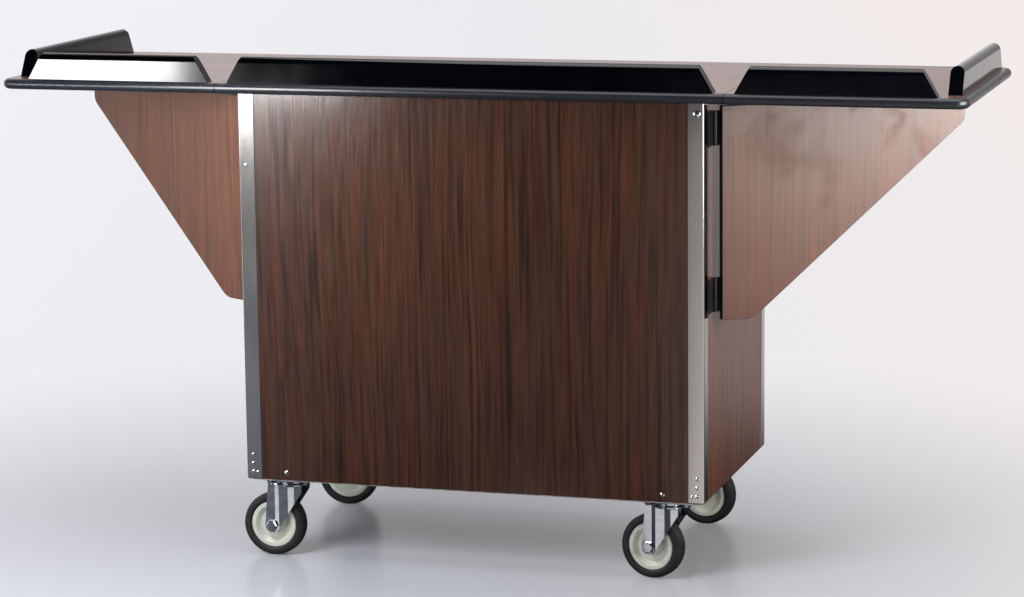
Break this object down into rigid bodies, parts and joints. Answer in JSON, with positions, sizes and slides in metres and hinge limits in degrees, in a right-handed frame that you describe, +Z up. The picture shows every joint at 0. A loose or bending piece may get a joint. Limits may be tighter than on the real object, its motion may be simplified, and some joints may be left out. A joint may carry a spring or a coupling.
{
  "type": "beverage service cart",
  "caption": "Laminate serving cart on swivel casters, with a railed counter whose hinged end leaves are held up by swing-out brackets over an open-backed cabinet.",
  "frame": {"origin": "on the floor under the middle of the counter", "axes": "+X along the counter to the right of the guest side, +Y to the open operator side, +Z up"},
  "size_m": [1.86, 0.563, 0.969],
  "materials": {
    "laminate": "satin dark woodgrain laminate",
    "counter_laminate": "satin dark woodgrain laminate, grain along the counter",
    "post_metal": "brushed bright metal",
    "sheet_steel": "galvanised sheet",
    "rail_black": "gloss black",
    "edge_vinyl": "satin black vinyl",
    "hinge_black": "satin black",
    "nylon_black": "moulded black nylon",
    "zinc_plate": "bright zinc plate",
    "hub_grey": "moulded pale grey",
    "tyre_black": "matt black rubber"
  },
  "bodies": {
    "cabinet": {"front_panel": "laminate", "left_panel": "laminate", "right_panel": "laminate", "post_front_left": "post_metal", "post_front_right": "post_metal", "post_rear_left": "post_metal", "post_rear_right": "post_metal", "base_pan": "sheet_steel", "pan_flanges": "sheet_steel", "shelf": "sheet_steel", "upper_frame": "sheet_steel", "center_top": "counter_laminate", "center_mouldings": "edge_vinyl", "center_front_rail": "rail_black", "bracket_hinge_plates": "hinge_black", "leaf_hinge_plates": "hinge_black", "hinge_pins": "hinge_black", "caster_plate_front_left": "zinc_plate", "caster_plate_front_right": "zinc_plate", "caster_plate_rear_left": "zinc_plate", "caster_plate_rear_right": "zinc_plate", "caster_kingpins": "zinc_plate", "caster_bolts": "zinc_plate"},
    "left_leaf": {"left_leaf_top": "counter_laminate", "left_leaf_moulding": "edge_vinyl", "left_leaf_front_rail": "rail_black", "left_leaf_end_rail": "rail_black", "left_leaf_hinge_leaves": "hinge_black", "left_bracket_stop": "nylon_black"},
    "right_leaf": {"right_leaf_top": "counter_laminate", "right_leaf_moulding": "edge_vinyl", "right_leaf_front_rail": "rail_black", "right_leaf_end_rail": "rail_black", "right_leaf_hinge_leaves": "hinge_black", "right_bracket_stop": "nylon_black"},
    "left_bracket": {"left_bracket": "laminate", "left_bracket_edging": "edge_vinyl", "left_bracket_hinge_leaves": "hinge_black", "left_bracket_glide": "nylon_black"},
    "right_bracket": {"right_bracket": "laminate", "right_bracket_edging": "edge_vinyl", "right_bracket_hinge_leaves": "hinge_black", "right_bracket_glide": "nylon_black"},
    "caster_front_left": {"caster_fork_front_left": "zinc_plate", "caster_axle_front_left": "zinc_plate"},
    "wheel_front_left": {"wheel_hub_front_left": "hub_grey", "wheel_tyre_front_left": "tyre_black"},
    "caster_front_right": {"caster_fork_front_right": "zinc_plate", "caster_axle_front_right": "zinc_plate"},
    "wheel_front_right": {"wheel_hub_front_right": "hub_grey", "wheel_tyre_front_right": "tyre_black"},
    "caster_rear_left": {"caster_fork_rear_left": "zinc_plate", "caster_axle_rear_left": "zinc_plate"},
    "wheel_rear_left": {"wheel_hub_rear_left": "hub_grey", "wheel_tyre_rear_left": "tyre_black"},
    "caster_rear_right": {"caster_fork_rear_right": "zinc_plate", "caster_axle_rear_right": "zinc_plate"},
    "wheel_rear_right": {"wheel_hub_rear_right": "hub_grey", "wheel_tyre_rear_right": "tyre_black"}
  },
  "joints": [
    {"name": "left_leaf_lift", "type": "hinge", "parent": "cabinet", "child": "left_leaf", "pos_m": [-0.489, 0, 0.8942], "axis": [0, 1, 0], "range_deg": [0, 2]},
    {"name": "left_bracket_swing", "type": "hinge", "parent": "cabinet", "child": "left_bracket", "pos_m": [-0.4538, -0.1874, 0.7], "axis": [0, 0, -1], "range_deg": [0, 60]},
    {"name": "right_leaf_lift", "type": "hinge", "parent": "cabinet", "child": "right_leaf", "pos_m": [0.489, 0, 0.8942], "axis": [0, -1, 0], "range_deg": [0, 2]},
    {"name": "right_bracket_swing", "type": "hinge", "parent": "cabinet", "child": "right_bracket", "pos_m": [0.4538, -0.1874, 0.7], "axis": [0, 0, 1], "range_deg": [0, 60]},
    {"name": "front_left_swivel", "type": "hinge", "parent": "cabinet", "child": "caster_front_left", "pos_m": [-0.375, -0.215, 0.15], "axis": [0, 0, 1], "continuous": true},
    {"name": "front_left_wheel_spin", "type": "hinge", "parent": "caster_front_left", "child": "wheel_front_left", "pos_m": [-0.411, -0.215, 0.061], "axis": [0, 1, 0], "continuous": true},
    {"name": "front_right_swivel", "type": "hinge", "parent": "cabinet", "child": "caster_front_right", "pos_m": [0.375, -0.215, 0.15], "axis": [0, 0, 1], "continuous": true},
    {"name": "front_right_wheel_spin", "type": "hinge", "parent": "caster_front_right", "child": "wheel_front_right", "pos_m": [0.33979, -0.20752, 0.061], "axis": [0.2079, 0.9781, 0], "continuous": true},
    {"name": "rear_left_swivel", "type": "hinge", "parent": "cabinet", "child": "caster_rear_left", "pos_m": [-0.375, 0.215, 0.15], "axis": [0, 0, 1], "continuous": true},
    {"name": "rear_left_wheel_spin", "type": "hinge", "parent": "caster_rear_left", "child": "wheel_rear_left", "pos_m": [-0.41056, 0.20937, 0.061], "axis": [-0.1564, 0.9877, 0], "continuous": true},
    {"name": "rear_right_swivel", "type": "hinge", "parent": "cabinet", "child": "caster_rear_right", "pos_m": [0.375, 0.215, 0.15], "axis": [0, 0, 1], "continuous": true},
    {"name": "rear_right_wheel_spin", "type": "hinge", "parent": "caster_rear_right", "child": "wheel_rear_right", "pos_m": [0.33979, 0.22248, 0.061], "axis": [0.2079, 0.9781, 0], "continuous": true}
  ]
}
